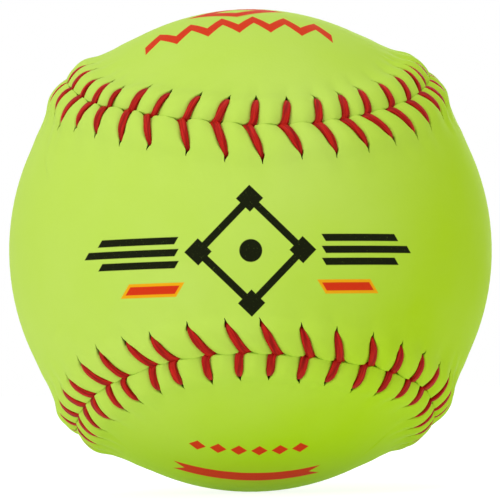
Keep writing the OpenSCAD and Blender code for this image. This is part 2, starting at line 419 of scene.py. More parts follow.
def rounded_line(points, per_step):
    """Catmull-Rom curve through the points."""
    p = np.array(points)
    p = np.concatenate([[2 * p[0] - p[1]], p, [2 * p[-1] - p[-2]]])
    out = []
    for k in range(1, len(p) - 2):
        for s in np.arange(per_step) / per_step:
            out.append(0.5 * ((2 * p[k]) + (p[k + 1] - p[k - 1]) * s
                              + (2 * p[k - 1] - 5 * p[k] + 4 * p[k + 1] - p[k + 2]) * s ** 2
                              + (3 * p[k] - p[k - 1] - 3 * p[k + 1] + p[k + 2]) * s ** 3))
    out.append(p[-2])
    return np.array(out)


def camera_turn():
    """Turns what the camera sees into the ball's frame."""
    view = (Matrix.Rotation(CAMERA_ROLL, 3, "Z") @ Matrix.Rotation(CAMERA_TURN, 3, "Y")
            @ Matrix.Rotation(CAMERA_TIP, 3, "X"))
    stand = Matrix(((1, 0, 0), (0, 0, -1), (0, 1, 0)))
    return stand @ view.transposed()


def seam_at(t):
    """Seam line on the unit sphere, closed after two turns of t."""
    polar = math.pi / 2 - (math.pi / 2 - WAIST - BEND) * np.cos(t) - BEND * np.cos(3 * t)
    turn = t / 2 + SWING * np.sin(2 * t)
    flat = np.sin(polar)
    return np.stack([-flat * np.sin(turn), -np.cos(polar), flat * np.cos(turn)], -1)


SEAM_T = np.linspace(0, 4 * math.pi, SEAM_SAMPLES + 1)
SEAM_STEPS = np.linalg.norm(np.diff(seam_at(SEAM_T), axis=0), axis=1)
SEAM_RUN = np.concatenate([[0], np.cumsum(SEAM_STEPS)])
PITCH = SEAM_RUN[-1] * BALL_R / STITCHES

# Drifts of each stitch, in the order in which they are drawn
rng = np.random.default_rng(SEED)
STITCH_DRIFT = rng.normal(0, STITCH_SPREAD, STITCHES)
SEAM_DRIFT = rng.normal(0, SEAM_SPREAD, STITCHES)
HOLE_DRIFT = {side: rng.normal(HOLE_LEAD[side], HOLE_SPREAD, STITCHES) for side in SIDES}
REACH_DRIFT = {side: rng.normal(0, REACH_SPREAD, STITCHES) for side in SIDES}
PUFF_DRIFT = {side: rng.normal(0, PUFF_SPREAD, STITCHES) for side in SIDES}
SLIT_DRIFT = {side: rng.normal(SLIT_BEND[side], SLIT_SPREAD, STITCHES) for side in SIDES}
STEPS = np.clip(rng.normal(THREAD_STEP, STEP_SPREAD, STITCHES), STEP_MIN, STEP_MAX)
STRAND_SHARES = {side: 1 + rng.normal(0, STRAND_SPREAD, STITCHES) for side in SIDES}
for side, stitch, share in ODD_STRANDS:
    STRAND_SHARES[side][stitch] = share
for side, first, last, bend in ODD_SLITS:
    SLIT_DRIFT[side][first:last + 1] += bend


def drifted(values, stitch):
    """A drift at a place between stitches, where it runs smoothly from one to the next."""
    low = np.floor(stitch).astype(int)
    share = smoothstep(stitch - low)
    return values[low % STITCHES] * (1 - share) + values[(low + 1) % STITCHES] * share


def seam_sway(along):
    """How far the seam lies beside its pattern, smoothed from stitch to stitch."""
    at = along / PITCH - FIRST_STITCH_SHARE
    middle = np.round(at).astype(int)
    total = np.zeros_like(at)
    weight = np.zeros_like(at)
    for k in range(-SWAY_STITCHES, SWAY_STITCHES + 1):
        share = np.exp(-((at - middle - k) / SWAY_SPREAD) ** 2)
        total = total + share * SEAM_DRIFT[(middle + k) % STITCHES]
        weight = weight + share
    return total / weight


def seam_dir(along, side, reach):
    """Direction of the points at a distance along the seam and beside it."""
    t = np.interp((along / BALL_R) % SEAM_RUN[-1], SEAM_RUN, SEAM_T)
    here = seam_at(t)
    ahead = seam_at(t + TANGENT_STEP) - seam_at(t - TANGENT_STEP)
    across = side * unit(np.cross(here, ahead))
    angle = np.asarray((reach + side * seam_sway(along)) / BALL_R)[..., None]
    return here * np.cos(angle) + across * np.sin(angle)


def stitch_along(stitch):
    return (stitch + drifted(STITCH_DRIFT, stitch) + FIRST_STITCH_SHARE) * PITCH


def foot_dir(side, stitch, further=0.0):
    along = stitch_along(stitch) + side * drifted(STEPS, stitch) / 2 + further
    return seam_dir(along, side, np.zeros_like(stitch))


def hole_dir(side, stitch):
    along = stitch_along(stitch) - HOLE_SETBACK + drifted(HOLE_DRIFT[side], stitch)
    return seam_dir(along, side, HOLE_REACH + drifted(REACH_DRIFT[side], stitch))


def rim_dir(side, stitch, reach):
    """Direction on a line that runs as the threads do, from the seam over the rim."""
    return between(foot_dir(side, stitch), hole_dir(side, stitch), reach / HOLE_REACH)


def seen_dir(place_px, height):
    """Direction from the ball's middle to what the camera sees at a pixel, at a height."""
    right = (place_px[0] - MIDDLE_PX[0]) / FOCAL_PX
    up = (MIDDLE_PX[1] - place_px[1]) / FOCAL_PX
    ray = unit(np.array([right, up, -1.0]))
    eye = np.array([0, 0, CAMERA_RADII * BALL_R])
    nearest = -(eye @ ray)
    inside = nearest ** 2 - eye @ eye + (BALL_R + height) ** 2
    near = nearest - math.sqrt(max(inside, 0))
    return np.array(camera_turn()) @ unit(eye + near * ray)


def outline_dir(place_px, height):
    """Direction from the ball's middle to the point of the outline nearest to a pixel."""
    turn = math.atan2(MIDDLE_PX[1] - place_px[1], place_px[0] - MIDDLE_PX[0])
    toward = (BALL_R + height) / (CAMERA_RADII * BALL_R)
    away = math.sqrt(1 - toward ** 2)
    place = np.array([away * math.cos(turn), away * math.sin(turn), toward])
    return np.array(camera_turn()) @ place


def read_place(seen):
    """Distances along the seam's pattern, and beside it, of a direction."""
    line = seam_at(SEAM_T)
    nearest = int(np.argmax(line @ seen))
    ahead = line[(nearest + 1) % SEAM_SAMPLES] - line[nearest - 1]
    beside = unit(np.cross(line[nearest], ahead)) @ seen
    return SEAM_RUN[nearest] * BALL_R, math.asin(beside) * BALL_R


def trust_in(place_px):
    """1 where the camera looks at the ball squarely enough to read a place, 0 near its edge."""
    return ramp(math.dist(place_px, MIDDLE_PX), UNTRUSTED_PX, TRUSTED_PX)


def move_to(drifts, stitch, goal, limit, trust):
    """Moves a drift toward what was read, within a limit."""
    drifts[stitch] += trust * (min(max(goal, -limit), limit) - drifts[stitch])


def read_outline():
    """Drifts of the seam at the outline, which fade out with the distance from it."""
    for place_px in OUTLINE_PX:
        along, beside = read_place(outline_dir(place_px, OUTLINE_H))
        at = along / PITCH - FIRST_STITCH_SHARE
        apart = np.abs(nearest_turn(at - np.arange(STITCHES), STITCHES))
        SEAM_DRIFT[:] += ramp(apart, OUTLINE_FAR, OUTLINE_NEAR) * (beside - SEAM_DRIFT)


def read_meeting(stitch, meet_px):
    """Drifts of a stitch and of the seam, from where its two strands meet."""
    along, beside = read_place(seen_dir(meet_px, MEET_H))
    drift = nearest_turn(along / PITCH - FIRST_STITCH_SHARE - stitch, STITCHES)
    move_to(STITCH_DRIFT, stitch, drift, MEET_LIMIT, trust_in(meet_px))
    move_to(SEAM_DRIFT, stitch, beside, SEAM_LIMIT, trust_in(meet_px))


def read_hole(side, stitch, end_px):
    """Drifts of a hole, from where its strand ends. That is short of the hole's middle."""
    along, beside = read_place(seen_dir(end_px, END_H))
    step = side * STEPS[stitch] / 2
    foot = stitch_along(np.array([float(stitch)]))[0] + step
    run = nearest_turn(along - foot, STITCHES * PITCH) * HOLE_REACH / END_REACH
    move_to(HOLE_DRIFT[side], stitch, run + step + HOLE_SETBACK, HOLE_LIMIT, trust_in(end_px))
    reach = side * (beside - seam_sway(np.array([along]))[0])
    drift = reach * HOLE_REACH / END_REACH - HOLE_REACH
    move_to(REACH_DRIFT[side], stitch, drift, REACH_LIMIT, trust_in(end_px))


def read_stitches(stitches_px, first, step):
    """Drifts of the stitches of one line in the picture, as far as it can be trusted."""
    numbers = [(first + step * k) % STITCHES for k in range(len(stitches_px))]
    for stitch, (meet_px, _, _) in zip(numbers, stitches_px):
        read_meeting(stitch, meet_px)
    for stitch, (_, front_px, back_px) in zip(numbers, stitches_px):
        read_hole(FRONT, stitch, front_px)
        read_hole(BACK, stitch, back_px)


read_outline()
read_stitches(TOP_STITCHES_PX, TOP_FIRST, -1)
read_stitches(BOTTOM_STITCHES_PX, BOTTOM_FIRST, 1)

BED_LINE = rounded_line(THREAD_LINE[BED_POINTS], BED_STEPS)


def bed_height(reach):
    return np.interp(reach, BED_LINE[:, 0], BED_LINE[:, 1])


def puff_height(reach):
    """Height of a puff over the ball, from its lip over its crest to the skirt's end."""
    rise = 1 - np.clip((CREST_REACH - reach) / CREST_REACH, 0, 1)
    near = LIP_SHARE + (1 - LIP_SHARE) * (1 - (1 - rise) ** 2) ** LIP_ROUNDING
    shoulder = ramp(reach, SHOULDER_START, SHOULDER_END)
    skirt = ramp(reach, CREST_REACH, SKIRT_REACH)
    far = 1 - SHOULDER_SHARE * shoulder - (1 - SHOULDER_SHARE) * skirt
    return RIM_H * np.where(reach < CREST_REACH, near, far)


def swell_height(reach):
    rising = ramp(reach, SWELL_START, SWELL_TOP)
    return SWELL_H * rising * (1 - ramp(reach, SWELL_TOP, SWELL_END))


def groove_depth(reach):
    """Depth of the groove's floor below the puffs: the thread lies on it as far as its
    hole, and past the hole it runs out as a crease."""
    floor = bed_height(reach) - THREAD_T / 2 - THREAD_BED
    bed = np.maximum(puff_height(reach) - floor, 0)
    end = HOLE_ROWS[0]
    end_depth = puff_height(end) - bed_height(end) + THREAD_T / 2
    crease = end_depth * np.exp(-((reach - end) / CREASE_RUN) ** 2)
    return np.where(reach < end, bed, crease)


def rim_height(side, column, reach):
    """Height of the cover over the ball at a column, in stitches, and a reach."""
    offset = nearest_turn(column, 1)
    slant = math.atan((HOLE_SETBACK + side * THREAD_STEP / 2) / HOLE_REACH)
    beside = np.abs(offset) * (PITCH * math.cos(slant))

    puff = np.floor(column).astype(int) % STITCHES
    bulge = np.sin(math.pi * (column % 1)) ** 2
    top = puff_height(reach) * (1 + PUFF_DRIFT[side][puff] * bulge)
    dip = PUFF_DIP_SHARE + LIP_DIP_SHARE * np.exp(-(reach / LIP_DIP_REACH) ** 2)
    top = top * (1 - dip * np.cos(math.pi * offset) ** 2)
    run = np.clip((reach - FOLD_START) / (FOLD_END - FOLD_START), 0, 1)
    along_fold = FOLD_DEPTH * np.sin(math.pi * np.sqrt(run))
    top = top - along_fold * np.exp(-(beside / FOLD_HALF) ** 2)

    narrowing = smoothstep((reach - NARROWING_START) / NARROWING_RUN)
    half = GROOVE_HALF * (1 - GROOVE_NARROWING * narrowing)
    groove = np.exp(-(beside / half) ** GROOVE_SHARPNESS)
    floor = np.minimum(puff_height(reach) - groove_depth(reach), top)
    return top + (floor - top) * groove + swell_height(reach)


def pinched(side, column, reach):
    """Columns drawn together beyond the thread, so that its hole ends in a point."""
    offset = nearest_turn(column, 1)
    stitch = np.round(column - offset).astype(int) % STITCHES
    tip = HOLE_ROWS[1]
    opening = ramp(reach, tip, PINCH_END)
    scale = 1 - (1 - HOLE_TIP_SHARE) * ramp(reach, PINCH_START, tip) * (1 - opening)
    inner, outer = COLUMN_SHARES[HOLE_COLUMNS], COLUMN_SHARES[CALM_COLUMN]
    apart = ramp(np.abs(offset), inner, outer)
    bending = ramp(reach, SLIT_BEND_START, tip)
    bend = SLIT_DRIFT[side][stitch] * bending * (1 - opening) * (1 - apart)
    return column - offset + offset * (scale + (1 - scale) * apart) + bend


def rim_reach(column, row_reach):
    """Rows start at the lip, which gives way to the threads in a notch at each stitch."""
    along = nearest_turn(column, 1) * PITCH - NOTCH_ALONG
    notch = np.exp(-(np.abs(along) / NOTCH_HALF) ** NOTCH_SHARPNESS)
    lip = RIM_GAP / 2 + (NOTCH_REACH - RIM_GAP / 2) * notch
    return row_reach + lip * np.clip(1 - row_reach / NOTCH_FADE, 0, 1) ** 2


def spine_dir(side, column):
    """Direction on a panel's middle line that a column of its rim runs to."""
    start = STITCHES / 4 if side == FRONT else 0
    angle = SPINE_ANGLE * np.cos((column - start) * 2 * math.pi / STITCHES)
    zero = np.zeros_like(angle)
    if side == FRONT:
        return np.stack([-np.sin(angle), -np.cos(angle), zero], -1)
    return np.stack([zero, np.cos(angle), np.sin(angle)], -1)


def column_places():
    """All columns round a panel, in stitches, in rising order."""
    half = list(COLUMN_SHARES)
    one = half[:-1] + [1 - share for share in reversed(half)][:-1]
    return np.concatenate([stitch + np.array(one) for stitch in range(STITCHES)])


class Shell:
    """Rows of points round a panel, and the faces between them."""

    def __init__(self):
        self.points = []
        self.depths = []
        self.quads = []
        self.triangles = []
        self.count = 0

    def row(self, points, depth=0.0):
        """Adds a row of points, with how deep in a hole they lie, from 0 to 1, which the
        cover's shader turns into painted shade.
        """
        first = self.count
        self.points.append(points)
        self.depths.append(np.full(len(points), depth, np.float32))
        self.count += len(points)
        return first + np.arange(len(points))

    def strip(self, a, b, keep=None):
        """Quads between two rows of as many points, or triangles to a row of half as many."""
        if len(a) == len(b):
            quads = np.stack([a, np.roll(a, -1), np.roll(b, -1), b], 1)
            self.quads.append(quads if keep is None else quads[keep])
            return
        even, odd, after = a[0::2], a[1::2], np.roll(a, -2)[0::2]
        onward = np.roll(b, -1)
        self.triangles += [np.stack([even, odd, b], 1), np.stack([odd, onward, b], 1),
                           np.stack([odd, after, onward], 1)]

    def fan(self, corner, line):
        """Triangles from one corner of each hole to a line of points beside it."""
        for k in range(line.shape[1] - 1):
            self.triangles.append(np.stack([corner, line[:, k], line[:, k + 1]], 1))

    def mesh(self, name):
        points = np.concatenate(self.points) * MM
        faces = np.concatenate(self.quads).tolist() + np.concatenate(self.triangles).tolist()
        mesh = bpy.data.meshes.new(name)
        mesh.from_pydata(points.tolist(), [], [f for f in faces if len(set(f)) == len(f)])
        depths = np.concatenate(self.depths)
        mesh.attributes.new("depth", "FLOAT", "POINT").data.foreach_set("value", depths)
        mesh.validate()
        return mesh


def outer_rows(shell, side, columns):
    """Rows of the outer face, from the lip to the end of the skirt."""
    rows = []
    for reach in ROW_REACHES:
        column = pinched(side, columns, reach)
        at = rim_reach(columns, reach)
        height = rim_height(side, column, at)
        rows.append(shell.row((BALL_R + height)[:, None] * rim_dir(side, column, at)))
    return rows


def under_rows(shell, side, columns):
    """Rows of the under face, at the lip and at the near and the far end of the holes."""
    rows = []
    for reach in (0.0,) + HOLE_ROWS:
        column = pinched(side, columns, reach)
        points = RIM_IN_R * rim_dir(side, column, rim_reach(columns, reach))
        rows.append(shell.row(points, 1.0 if reach > 0 else 0.0))
    return rows


def add_hole_walls(shell, outer, near, far):
    """Walls of the holes, from the outer rows that pass them down to the under face."""
    count = len(near)
    middles = np.arange(STITCHES) * (count // STITCHES)
    lines = np.stack(outer, 1)
    left, right = (middles - HOLE_COLUMNS) % count, (middles + HOLE_COLUMNS) % count
    shell.fan(near[left], lines[left])
    shell.triangles.append(np.stack([near[left], lines[left][:, -1], far[left]], 1))
    shell.fan(near[right], lines[right][:, ::-1])
    shell.triangles.append(np.stack([near[right], far[right], lines[right][:, -1]], 1))
    for top, low in ((outer[0], near), (outer[-1], far)):
        for k in range(-HOLE_COLUMNS, HOLE_COLUMNS):
            a, b = (middles + k) % count, (middles + k + 1) % count
            if low is far:
                a, b = b, a
            shell.quads.append(np.stack([top[a], top[b], low[b], low[a]], 1))


def spine_row(shell, side, columns, radius):
    """Row on the middle line, where the columns of both long sides meet in one point."""
    count = len(columns)
    start = count // 4 if side == FRONT else 0
    step = (np.arange(count) - start) % count
    folded = np.minimum(step, count - step)
    line = columns[(start + np.arange(count // 2 + 1)) % count]
    first = shell.row(radius * spine_dir(side, line))[0]
    return first + folded


def run_to_spine(shell, side, columns, last_row, radius, steps, inside):
    """Smooth middle of a panel, from the skirt's last row to the panel's middle line."""
    rows = [last_row]
    edge = rim_dir(side, columns, SKIRT_REACH)
    for k in range(1, steps):
        if k <= HALVINGS:
            columns, edge = columns[0::2], edge[0::2]
        share = (k / steps) ** ROW_SPREAD
        spine = spine_dir(side, columns)
        reach = SKIRT_REACH + share * np.arccos((edge * spine).sum(-1)) * BALL_R
        swell = np.zeros_like(reach) if inside else swell_height(reach)
        rows.append(shell.row((radius + swell)[:, None] * between(edge, spine, share)))
    rows.append(spine_row(shell, side, columns, radius))
    for a, b in zip(rows, rows[1:]):
        if inside and len(a) == len(b):
            a, b = b, a
        shell.strip(a, b)


def panel_mesh(side, name):
    """A panel as one closed sheet: outer face, under face, lip and walls of its holes."""
    shell = Shell()
    columns = column_places()
    per_stitch = len(columns) // STITCHES
    offset = np.arange(len(columns)) % per_stitch
    beside_hole = (offset >= HOLE_COLUMNS) & (offset < per_stitch - HOLE_COLUMNS)
    first, last = (ROW_REACHES.index(reach) for reach in HOLE_ROWS)

    outer = outer_rows(shell, side, columns)
    for k in range(len(outer) - 1):
        shell.strip(outer[k], outer[k + 1], beside_hole if first <= k < last else None)
    lip, near, far = under_rows(shell, side, columns)
    shell.strip(near, lip)
    shell.strip(far, near, beside_hole)
    shell.strip(lip, outer[0])
    add_hole_walls(shell, outer[first:last + 1], near, far)

    run_to_spine(shell, side, columns, outer[-1], BALL_R, OUTSIDE_ROWS, False)
    skirt = shell.row(SHEET_IN_R * rim_dir(side, columns, SKIRT_REACH))
    shell.strip(skirt, far)
    run_to_spine(shell, side, columns, skirt, SHEET_IN_R, INSIDE_ROWS, True)
    return shell.mesh(name)


def strand_over_rim(side, stitch, line):
    """Points, half widths and sideways direction of a strand, from its hole to the seam."""
    at = np.array([float(stitch)])
    foot, hole = foot_dir(side, at)[0], hole_dir(side, at)[0]
    low_foot = foot_dir(side, at, THREAD_TAIL)[0]
    reach, height = line[:, 0], line[:, 1]
    sinking = smoothstep((SINK_H - height) / SINK_RUN)
    sinking = sinking * smoothstep((SINK_REACH - reach) / SINK_RUN)
    dirs = between(foot[None], hole[None], reach / HOLE_REACH)
    dirs = unit(dirs + sinking[:, None] * (low_foot - foot))
    points = dirs * (BALL_R + height)[:, None]

    taper = 1 - TAPER * smoothstep((reach - TAPER_START) / TAPER_RUN)
    over = smoothstep((height - DOWN_H) / DOWN_RUN)
    fullness = 1 + (STRAND_SHARES[side][stitch] - 1) * over
    drawn = DOWN_W_SHARE + (1 - DOWN_W_SHARE) * over
    return points, THREAD_W / 2 * fullness * taper * drawn, unit(np.cross(foot, hole))


def run_under_rim(side, stitch):
    """Points and sideways direction of the thread from a stitch to the next one's hole."""
    low_foot = foot_dir(side, np.array([float(stitch)]), THREAD_TAIL)[0]
    goal = hole_dir(-side, np.array([float(stitch + 1)]))[0]
    share = np.linspace(0, 1, UNDER_STEPS + 2)[1:-1]
    points = between(low_foot[None], goal[None], share) * CROSSING_R
    return points, unit(np.cross(low_foot, goal))


def thread_path(first_side):
    """Points, half widths, half thicknesses and sideways directions along one thread."""
    line = rounded_line(THREAD_LINE, OVER_STEPS)[::-1]
    points, widths, heights, sideways = [], [], [], []
    for stitch in range(STITCHES):
        side = first_side if stitch % 2 == 0 else -first_side
        over, over_widths, over_way = strand_over_rim(side, stitch, line)
        under, under_way = run_under_rim(side, stitch)
        points += [over, under]
        widths += [over_widths, np.full(UNDER_STEPS, THREAD_W / 2 * UNDER_W_SHARE)]
        heights += [np.full(len(line), THREAD_T / 2),
                    np.full(UNDER_STEPS, THREAD_T / 2 * UNDER_T_SHARE)]
        sideways += [np.repeat(over_way[None], len(line), 0),
                     np.repeat(under_way[None], UNDER_STEPS, 0)]
    return (np.concatenate(part) for part in (points, widths, heights, sideways))


def steadied(sideways, ahead):
    """Sideways directions without flips or sudden turns, square to the thread."""
    for k in range(1, len(sideways)):
        if (sideways[k] * sideways[k - 1]).sum() < 0:
            sideways[k] = -sideways[k]
    for _ in range(SMOOTHINGS):
        before, after = np.roll(sideways, 1, 0), np.roll(sideways, -1, 0)
        sideways = unit(sideways + SMOOTHING * before + SMOOTHING * after)
    return unit(sideways - ahead * (sideways * ahead).sum(1, keepdims=True))


def squared_off(wave):
    """A sine or cosine with the fuller corners of the thread's flattened section."""
    return np.sign(wave) * np.abs(wave) ** (2 / SECTION_POWER)


def cleft_depth(angle, run):
    """How deep in a cleft between two plies the thread's surface lies, from 0 to 1."""
    ply_angle = 2 * math.pi / PLIES
    turn = 2 * math.pi * run / LAY_LENGTH
    apart = (angle[None] - turn[:, None]) % ply_angle
    return np.exp(-(np.minimum(apart, ply_angle - apart) / CLEFT_HALF) ** 2)


def thread_mesh(first_side, name):
    """A thread as a closed tube, with its run, its section and its clefts as attributes."""
    points, widths, heights, sideways = thread_path(first_side)
    ahead = unit(np.roll(points, -1, 0) - np.roll(points, 1, 0))
    sideways = steadied(sideways, ahead)
    normal = np.cross(ahead, sideways)
    steps = np.linalg.norm(np.diff(points, axis=0), axis=1)
    run = np.concatenate([[0], np.cumsum(steps)])

    angle = np.arange(SECTION_POINTS) * 2 * math.pi / SECTION_POINTS
    cleft = cleft_depth(angle, run)
    ply = 1 - PLY_DEPTH * cleft
    across = (widths[:, None] * squared_off(np.cos(angle)) * ply)[..., None]
    upward = (heights[:, None] * squared_off(np.sin(angle)) * ply)[..., None]
    rings = points[:, None] + sideways[:, None] * across + normal[:, None] * upward

    index = np.arange(len(points) * SECTION_POINTS).reshape(len(points), SECTION_POINTS)
    after, beside = np.roll(index, -1, 0), np.roll(index, -1, 1)
    quads = np.stack([index, beside, np.roll(after, -1, 1), after], -1).reshape(-1, 4)
    mesh = bpy.data.meshes.new(name)
    mesh.from_pydata((rings.reshape(-1, 3) * MM).tolist(), [], quads.tolist())
    lay = np.zeros((len(points), SECTION_POINTS, 3), np.float32)
    lay[..., 0] = run[:, None]
    lay[..., 1] = np.sin(angle)[None] * heights[:, None]
    lay[..., 2] = np.cos(angle)[None] * widths[:, None]
    cleft = cleft.astype(np.float32)
    mesh.attributes.new("lay", "FLOAT_VECTOR", "POINT").data.foreach_set("vector", lay.ravel())
    mesh.attributes.new("cleft", "FLOAT", "POINT").data.foreach_set("value", cleft.ravel())
    return mesh


def made_outward(mesh):
    """Turns all faces to look outward, and marks the sharp edges."""
    bm = bmesh.new()
    bm.from_mesh(mesh)
    bmesh.ops.recalc_face_normals(bm, faces=bm.faces)
    if bm.calc_volume(signed=True) < 0:
        bmesh.ops.reverse_faces(bm, faces=bm.faces)
    bm.to_mesh(mesh)
    bm.free()
    mesh.shade_smooth()
    mesh.set_sharp_from_angle(angle=SHARP_ANGLE)


def add_piece(name, mesh, node, material):
    """A piece on the ball's one body, which stands for a CAD node."""
    made_outward(mesh)
    obj = bpy.data.objects.new(name, mesh)
    bpy.context.scene.collection.objects.link(obj)
    mesh.materials.append(material)
    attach(obj, "root")
    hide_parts(node)


class Graph:
    """The nodes of a material or a world, with short calls to make more."""

    def __init__(self, owner):
        owner.use_nodes = True
        self.owner = owner
        self.tree = owner.node_tree

    def node(self, kind, **settings):
        made = self.tree.nodes.new(kind)
        for key, value in settings.items():
            setattr(made, key, value)
        return made

    def put(self, socket, value):
        if isinstance(value, bpy.types.NodeSocket):
            self.tree.links.new(value, socket)
        else:
            socket.default_value = value

    def math(self, operation, a, b=0.0):
        made = self.node("ShaderNodeMath", operation=operation)
        self.put(made.inputs[0], a)
        self.put(made.inputs[1], b)
        return made.outputs[0]

    def mix(self, share, a, b):
        """Colour between two, through the colour sockets of a Mix node."""
        made = self.node("ShaderNodeMix", data_type="RGBA")
        self.put(made.inputs[0], share)
        self.put(made.inputs[6], a)
        self.put(made.inputs[7], b)
        return made.outputs[2]

    def noise(self, scale, detail=3.0, roughness=0.5, vector=None):
        made = self.node("ShaderNodeTexNoise")
        self.put(made.inputs["Vector"], vector or self.place())
        made.inputs["Scale"].default_value = scale
        made.inputs["Detail"].default_value = detail
        made.inputs["Roughness"].default_value = roughness
        return made.outputs["Fac"]

    def place(self):
        return self.node("ShaderNodeTexCoord").outputs["Object"]

    def attribute(self, name, output):
        return self.node("ShaderNodeAttribute", attribute_name=name).outputs[output]

    def spread(self, value, low, high, to_low=0.0, to_high=1.0):
        made = self.node("ShaderNodeMapRange")
        for socket, number in zip(made.inputs[:5], (value, low, high, to_low, to_high)):
            self.put(socket, number)
        return made.outputs[0]

    def bump(self, height, distance, strength, below=None):
        made = self.node("ShaderNodeBump")
        made.inputs["Strength"].default_value = strength
        made.inputs["Distance"].default_value = distance
        self.put(made.inputs["Height"], height)
        if below is not None:
            self.put(made.inputs["Normal"], below)
        return made.outputs["Normal"]

    def surfaced(self, colour, normal, roughness, gloss=None):
        """Puts a surface's looks into the shader, and returns the material."""
        shader = self.tree.nodes["Principled BSDF"]
        self.put(shader.inputs["Base Color"], colour)
        self.put(shader.inputs["Normal"], normal)
        shader.inputs["Roughness"].default_value = roughness
        if gloss is not None:
            shader.inputs["Specular IOR Level"].default_value = gloss
        return self.owner


def srgb(red, green, blue):
    """Linear colour for the shader from the 0 to 255 values of a picture."""
    def linear(value):
        value = value / 255
        return value / 12.92 if value <= 0.04045 else ((value + 0.055) / 1.055) ** 2.4
    return (linear(red), linear(green), linear(blue), 1.0)


def within(g, value, half):
    """1 where a value lies within a half width of zero, with a soft edge."""
    return g.spread(g.math("ABSOLUTE", value), half + INK_EDGE / 2, half - INK_EDGE / 2)


def joined(g, operation, masks):
    out = masks[0]
    for mask in masks[1:]:
        out = g.math(operation, out, mask)
    return out


def both(g, *masks):
    return joined(g, "MULTIPLY", masks)


def either(g, *masks):
    return joined(g, "MAXIMUM", masks)


def slanted(g, x_abs, level):
    """Distance to the side, measured along ends that slant with the level."""
    return g.math("ADD", x_abs, g.math("MULTIPLY", level, BAR_SLANT))


def black_print(g, x_abs, z):
    """Diamond line, its four bases, the plate in its middle, and the speed bars."""
    z_abs = g.math("ABSOLUTE", z)
    diagonal = g.math("ADD", x_abs, z_abs)
    line = within(g, g.math("SUBTRACT", diagonal, DIAMOND_HALF), DIAMOND_LINE / 2)
    from_side = g.math("ABSOLUTE", g.math("SUBTRACT", x_abs, DIAMOND_HALF))
    from_end = g.math("ABSOLUTE", g.math("SUBTRACT", z_abs, DIAMOND_HALF))
    side_base = within(g, g.math("ADD", from_side, z_abs), BASE_HALF)
    end_base = within(g, g.math("ADD", from_end, x_abs), BASE_HALF)
    squares = g.math("ADD", g.math("MULTIPLY", x_abs, x_abs), g.math("MULTIPLY", z, z))
    plate = within(g, g.math("SQRT", squares), PLATE_R)
    bars = []
    for k, end in enumerate(BAR_ENDS):
        level = g.math("SUBTRACT", z, (1 - k) * BAR_STEP)
        beside = g.math("SUBTRACT", slanted(g, x_abs, level), (BAR_START + end) / 2)
        bars.append(both(g, within(g, level, BAR_H / 2),
                         within(g, beside, (end - BAR_START) / 2)))
    return either(g, line, side_base, end_base, plate, *bars)


def dash_print(g, x_abs, z, border):
    level = g.math("SUBTRACT", z, DASH_Z)
    beside = g.math("SUBTRACT", slanted(g, x_abs, level), (DASH_START + DASH_END) / 2)
    return both(g, within(g, level, DASH_H / 2 + border),
                within(g, beside, (DASH_END - DASH_START) / 2 + border))


def zigzag_print(g, x, x_abs, climb):
    slope = 2 * ZIGZAG_RISE / ZIGZAG_STEP
    wave = g.math("MULTIPLY", g.math("PINGPONG", x_abs, ZIGZAG_STEP / 2), slope)
    line = g.math("SUBTRACT", g.math("SUBTRACT", climb, ZIGZAG_PLACE), wave)
    return both(g, within(g, line, ZIGZAG_LINE / 2), within(g, x, ZIGZAG_HALF))


def lozenge_print(g, x_abs, climb):
    level = g.math("ABSOLUTE", g.math("SUBTRACT", climb, LOZENGE_PLACE))
    reach = g.math("ADD", g.math("DIVIDE", x_abs, LOZENGE_HALF),
                   g.math("DIVIDE", level, LOZENGE_RISE))
    middle = g.math("SUBTRACT", reach, (1 + LOZENGE_HOLLOW) / 2)
    return within(g, middle, (1 - LOZENGE_HOLLOW) / 2)


def beads_print(g, x, x_abs, climb):
    column = g.math("SUBTRACT", g.math("PINGPONG", x_abs, BEADS_STEP / 2), BEADS_STEP / 2)
    row = g.math("SUBTRACT", climb, BEADS_PLACE)
    reach = g.math("ADD", g.math("ABSOLUTE", column), g.math("ABSOLUTE", row))
    return both(g, within(g, reach, BEAD_HALF), within(g, x, BEADS_HALF))


def ribbon_print(g, x_abs, climb):
    level = g.math("SUBTRACT", climb, RIBBON_PLACE)
    drawn_in = g.math("SUBTRACT", x_abs, g.math("ABSOLUTE", level))
    return both(g, within(g, level, RIBBON_H / 2), within(g, drawn_in, RIBBON_HALF))


def red_print(g, x, x_abs, z, climb):
    return either(g, dash_print(g, x_abs, z, 0.0), zigzag_print(g, x, x_abs, climb),
                  lozenge_print(g, x_abs, climb), beads_print(g, x, x_abs, climb),
                  ribbon_print(g, x_abs, climb))


def sheen_and_mottle(g):
    """Share of the painted sheen: broadly toward the key lamp, with some real mottling noise in
    it.
    """
    toward_key = g.node("ShaderNodeVectorMath", operation="DOT_PRODUCT")
    g.put(toward_key.inputs[0], g.place())
    toward_key.inputs[1].default_value = SHEEN_WAY
    painted_sheen = g.spread(toward_key.outputs["Value"], *SHEEN_SPAN)
    mottled = g.spread(g.noise(TONE_NOISE_SCALE, 4), *TONE_NOISE_RANGE)
    return g.mix(TONE_NOISE_SHARE, painted_sheen, mottled)


